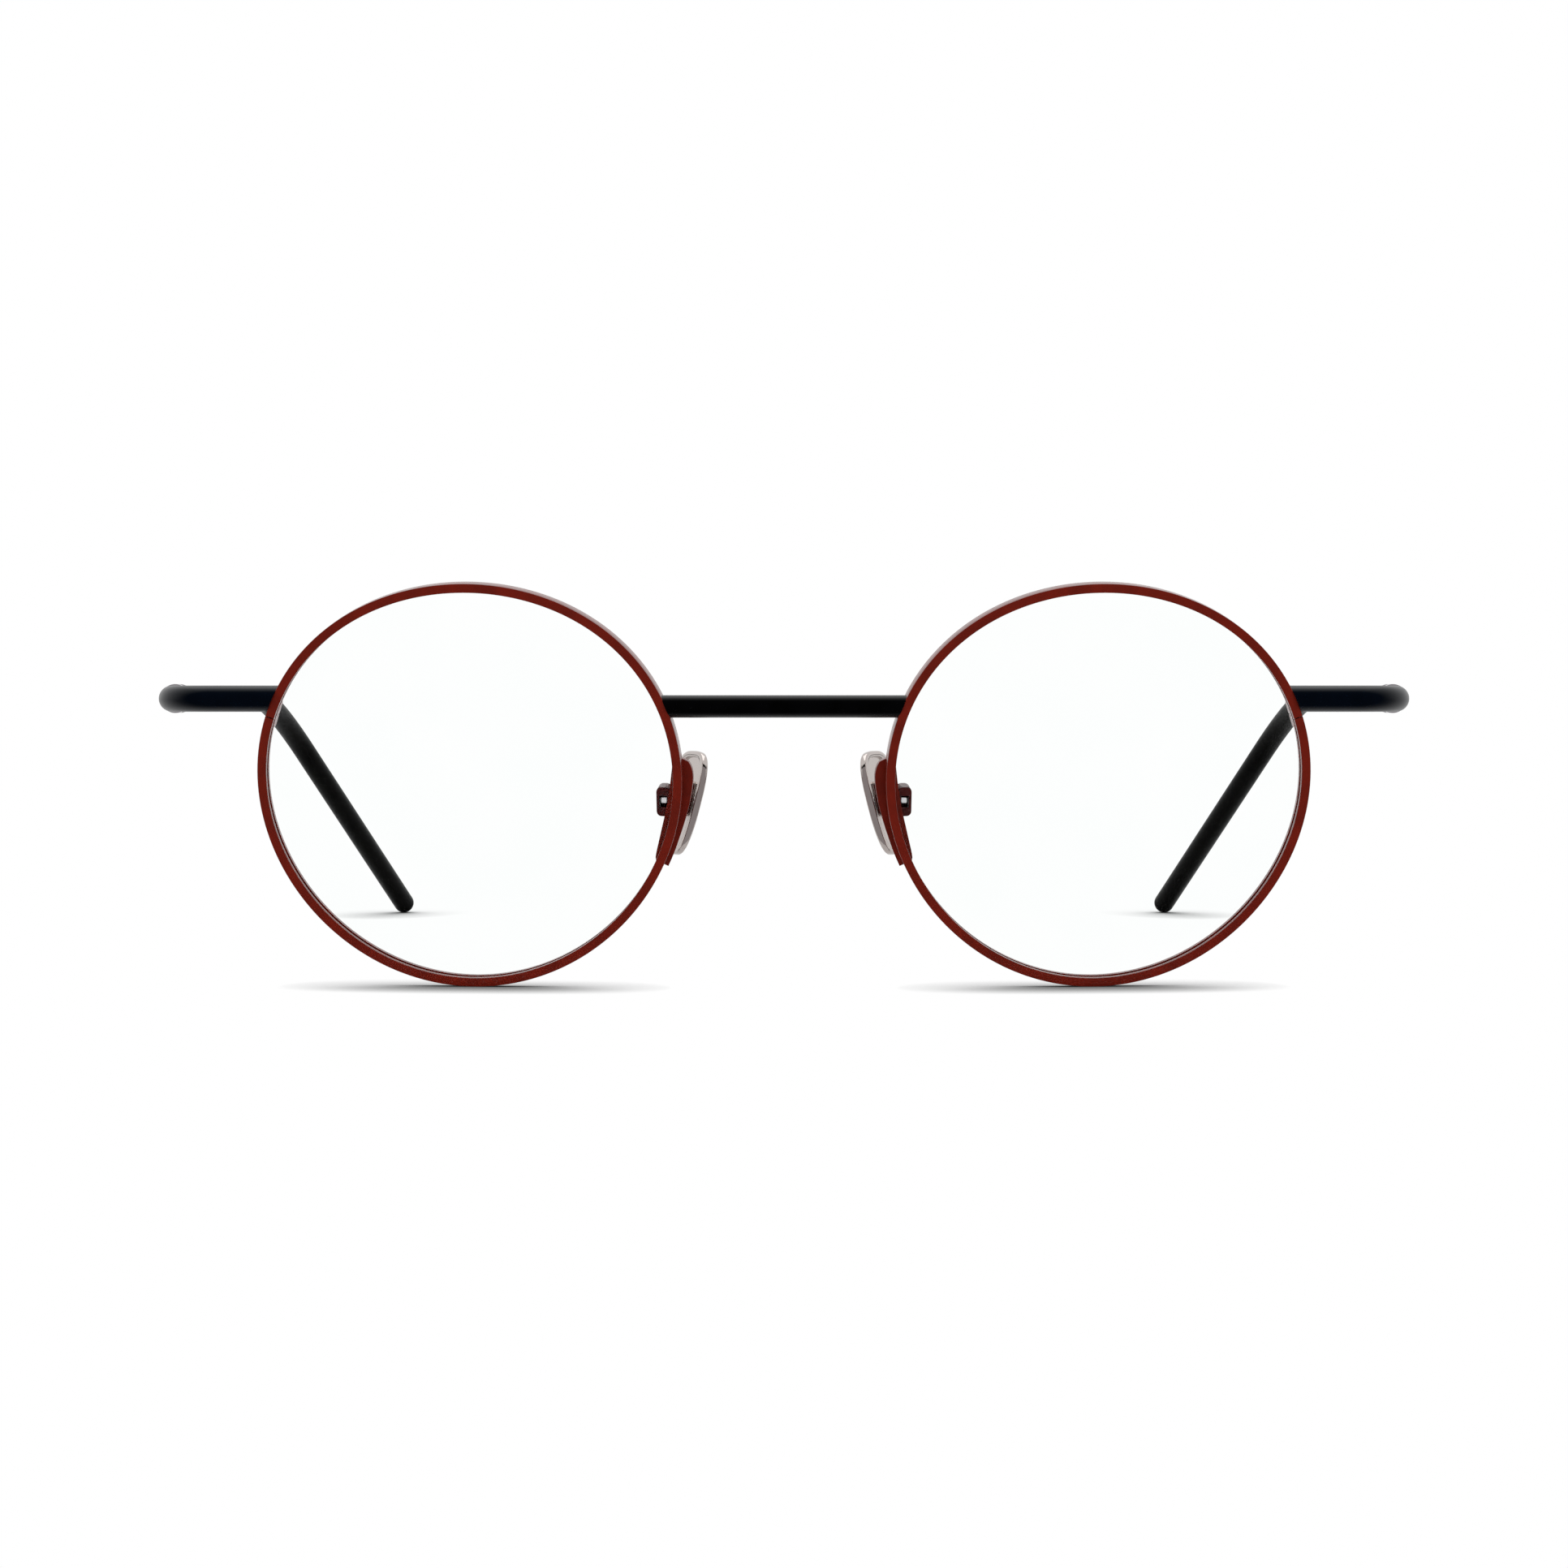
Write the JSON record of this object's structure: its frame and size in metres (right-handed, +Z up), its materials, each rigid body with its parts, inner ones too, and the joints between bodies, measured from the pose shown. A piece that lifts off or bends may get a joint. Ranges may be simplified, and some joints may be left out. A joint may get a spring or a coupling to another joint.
{
  "type": "eyeglasses",
  "caption": "Round wire-rimmed eyeglasses with a straight bar bridge, rocking metal nose pads and round tube temples that fold at screw hinges",
  "frame": {"origin": "on the surface it stands on, under the middle of its bounding box", "axes": "+X to the wearer's left, +Y from the lenses back along the temples, +Z up"},
  "size_m": [0.1444, 0.1384, 0.0455],
  "materials": {
    "rim_paint": "satin brick red paint",
    "arm_paint": "satin black paint",
    "tip_plastic": "satin black cellulose plastic",
    "lens_clear": "clear and polished",
    "pad_metal": "polished grey metal",
    "hinge_steel": "polished steel",
    "screw_steel": "polished steel",
    "box_paint": "satin dark red paint"
  },
  "bodies": {
    "front": {"right_rim": "rim_paint", "left_rim": "rim_paint", "right_lens": "lens_clear", "left_lens": "lens_clear", "bridge_bar": "arm_paint", "right_endpiece_tube": "arm_paint", "left_endpiece_tube": "arm_paint", "right_upper_rim_lock": "rim_paint", "left_upper_rim_lock": "rim_paint", "right_lower_rim_lock": "rim_paint", "left_lower_rim_lock": "rim_paint", "right_rim_lock_screw": "screw_steel", "left_rim_lock_screw": "screw_steel", "right_hinge_front_leaf": "hinge_steel", "left_hinge_front_leaf": "hinge_steel", "right_hinge_screw": "screw_steel", "left_hinge_screw": "screw_steel", "right_pad_plate": "rim_paint", "left_pad_plate": "rim_paint", "right_pad_box": "box_paint", "left_pad_box": "box_paint", "right_pad_screw": "screw_steel", "left_pad_screw": "screw_steel"},
    "right_temple": {"right_hinge_temple_leaf": "hinge_steel", "right_temple_tube": "arm_paint", "right_temple_core": "screw_steel", "right_temple_tip": "tip_plastic"},
    "right_pad": {"right_pad_stem": "hinge_steel", "right_nose_pad": "pad_metal"},
    "left_temple": {"left_hinge_temple_leaf": "hinge_steel", "left_temple_tube": "arm_paint", "left_temple_core": "screw_steel", "left_temple_tip": "tip_plastic"},
    "left_pad": {"left_pad_stem": "hinge_steel", "left_nose_pad": "pad_metal"}
  },
  "joints": [
    {"name": "right_temple_fold", "type": "hinge", "parent": "front", "child": "right_temple", "pos_m": [-0.0683, -0.05499, 0.03248], "axis": [0, 0, -1], "range_deg": [0, 78]},
    {"name": "left_temple_fold", "type": "hinge", "parent": "front", "child": "left_temple", "pos_m": [0.0683, -0.05499, 0.03248], "axis": [0, 0, 1], "range_deg": [0, 85]},
    {"name": "right_pad_rock", "type": "hinge", "parent": "front", "child": "right_pad", "pos_m": [-0.01338, -0.0627, 0.02125], "axis": [0.9969, -0.0785, 0], "range_deg": [-8, 8]},
    {"name": "left_pad_rock", "type": "hinge", "parent": "front", "child": "left_pad", "pos_m": [0.01338, -0.0627, 0.02125], "axis": [0.9969, 0.0785, 0], "range_deg": [-8, 8]}
  ]
}
